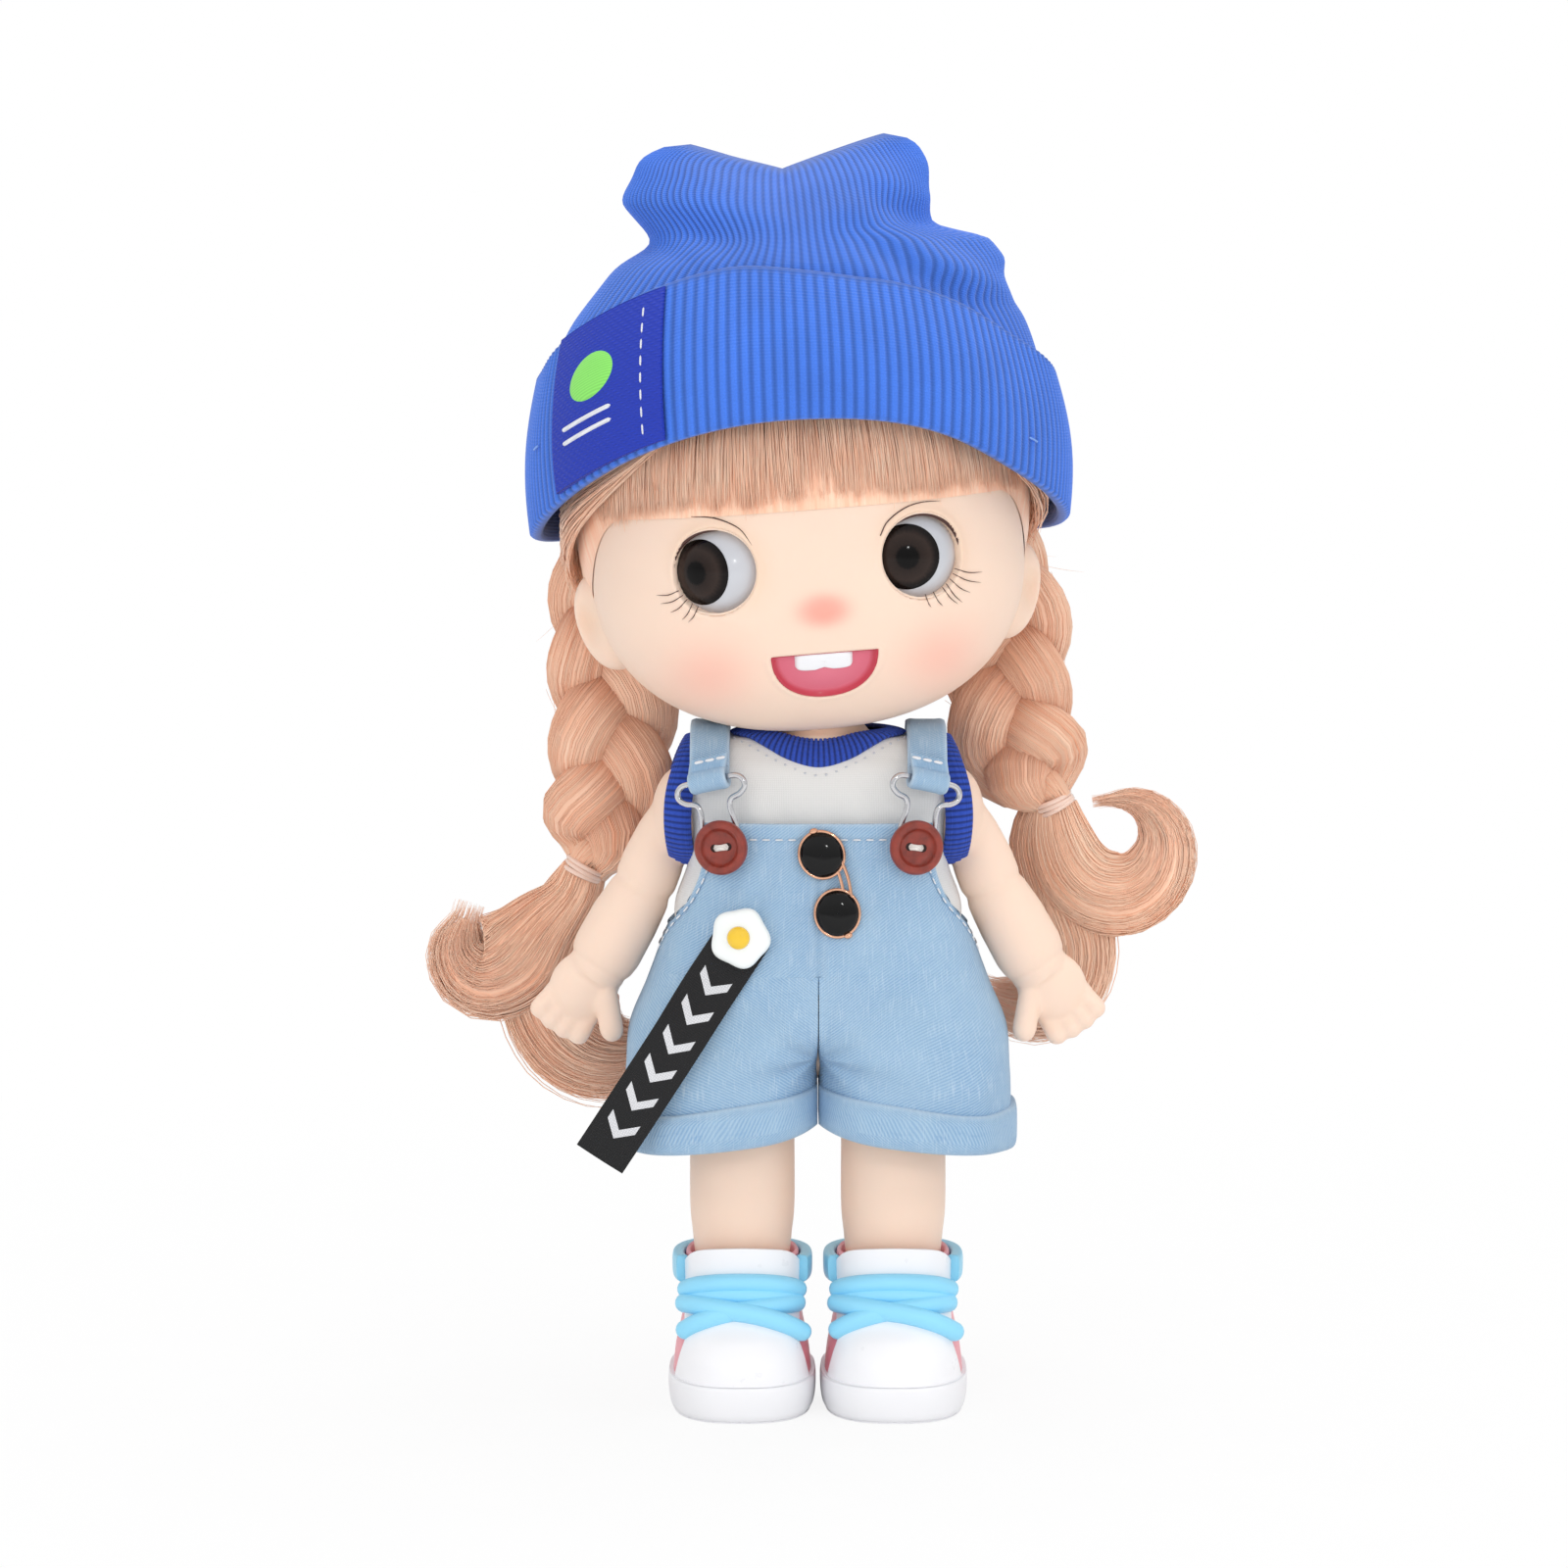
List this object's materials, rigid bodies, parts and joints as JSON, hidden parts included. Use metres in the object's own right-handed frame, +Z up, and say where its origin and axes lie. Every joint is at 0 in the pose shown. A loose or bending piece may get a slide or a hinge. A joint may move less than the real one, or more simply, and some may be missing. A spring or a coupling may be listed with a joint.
{
  "type": "jointed doll",
  "caption": "Standing vinyl play doll with a large turning head, plaited hair, knitted hat, denim dungarees, charms and laced shoes; arms and legs swing at the shoulders and hips.",
  "frame": {"origin": "bottom centre of the bounding box, on the floor under the doll", "axes": "+Z up from the soles to the hat, -Y the way the doll faces, +X towards the doll's own left hand"},
  "size_m": [0.1462, 0.093, 0.2398],
  "materials": {
    "vinyl_skin": "soft matt vinyl",
    "white_knit": "fine plain knit",
    "blue_rib": "ribbed knit",
    "denim": "washed light-blue twill",
    "wire": "bright bent wire",
    "button": "satin terracotta",
    "charm_frame": "rose-gold plate",
    "charm_lens": "glossy black enamel",
    "ribbon_weave": "black woven ribbon with white blocks",
    "egg_white": "glossy cast resin",
    "egg_yolk": "glossy cast resin",
    "eye_white": "glossy",
    "iris": "glossy dark brown",
    "mouth": "satin pink",
    "tooth": "glossy white",
    "blue_knit": "ribbed knit",
    "label_weave": "woven label with a running stitch",
    "hair": "synthetic fibre",
    "elastic": "translucent elastic",
    "shoe_sole": "white moulded rubber",
    "shoe_white": "moulded vinyl",
    "shoe_pink": "moulded vinyl",
    "shoe_blue": "moulded vinyl",
    "lace": "moulded vinyl"
  },
  "bodies": {
    "torso": {"torso": "vinyl_skin", "shirt": "white_knit", "shirt_collar": "blue_rib", "left_armhole_rib": "blue_rib", "right_armhole_rib": "blue_rib", "overalls_front": "denim", "overalls_back": "denim", "left_buckle": "wire", "right_buckle": "wire", "left_strap": "denim", "right_strap": "denim", "left_button": "button", "right_button": "button", "sunglasses_frame": "charm_frame", "sunglasses_upper_lens": "charm_lens", "sunglasses_lower_lens": "charm_lens", "ribbon": "ribbon_weave", "egg_white": "egg_white", "egg_yolk": "egg_yolk"},
    "head": {"head_shell": "vinyl_skin", "left_eye": "eye_white", "left_iris": "iris", "right_eye": "eye_white", "right_iris": "iris", "mouth_inlay": "mouth", "front_teeth": "tooth", "hat_crown": "blue_knit", "hat_cuff": "blue_knit", "hat_label": "label_weave", "hair_crown": "hair", "hair_fringe": "hair", "left_braid": "hair", "right_braid": "hair", "left_hair_tie": "elastic", "right_hair_tie": "elastic", "left_tail": "hair", "right_tail": "hair"},
    "left_arm": {"left_arm": "vinyl_skin"},
    "right_arm": {"right_arm": "vinyl_skin"},
    "left_leg": {"left_leg": "vinyl_skin", "left_shorts_leg": "denim", "left_cuff": "denim", "left_sole": "shoe_sole", "left_toe_cap": "shoe_white", "left_shoe_upper": "shoe_pink", "left_tongue": "shoe_white", "left_shoe_collar": "shoe_blue", "left_laces": "lace"},
    "right_leg": {"right_leg": "vinyl_skin", "right_shorts_leg": "denim", "right_cuff": "denim", "right_sole": "shoe_sole", "right_toe_cap": "shoe_white", "right_shoe_upper": "shoe_pink", "right_tongue": "shoe_white", "right_shoe_collar": "shoe_blue", "right_laces": "lace"}
  },
  "joints": [
    {"name": "neck_turn", "type": "hinge", "parent": "torso", "child": "head", "pos_m": [0, 0, 0.131], "axis": [0, 0, 1], "range_deg": [-40, 40], "deforming": ["left_braid", "right_braid", "left_hair_tie", "right_hair_tie", "left_tail", "right_tail"]},
    {"name": "left_shoulder", "type": "hinge", "parent": "torso", "child": "left_arm", "pos_m": [0.0266, 0, 0.1145], "axis": [-0.9511, 0, 0.309], "range_deg": [-5, 170]},
    {"name": "right_shoulder", "type": "hinge", "parent": "torso", "child": "right_arm", "pos_m": [-0.0266, 0, 0.1145], "axis": [-0.9511, 0, -0.309], "range_deg": [-5, 170]},
    {"name": "left_hip", "type": "hinge", "parent": "torso", "child": "left_leg", "pos_m": [0.0143, 0, 0.07], "axis": [-1, 0, 0], "range_deg": [-10, 85], "deforming": ["left_shorts_leg", "left_cuff"]},
    {"name": "right_hip", "type": "hinge", "parent": "torso", "child": "right_leg", "pos_m": [-0.0143, 0, 0.07], "axis": [-1, 0, 0], "range_deg": [-10, 85], "deforming": ["right_shorts_leg", "right_cuff", "ribbon"]}
  ]
}
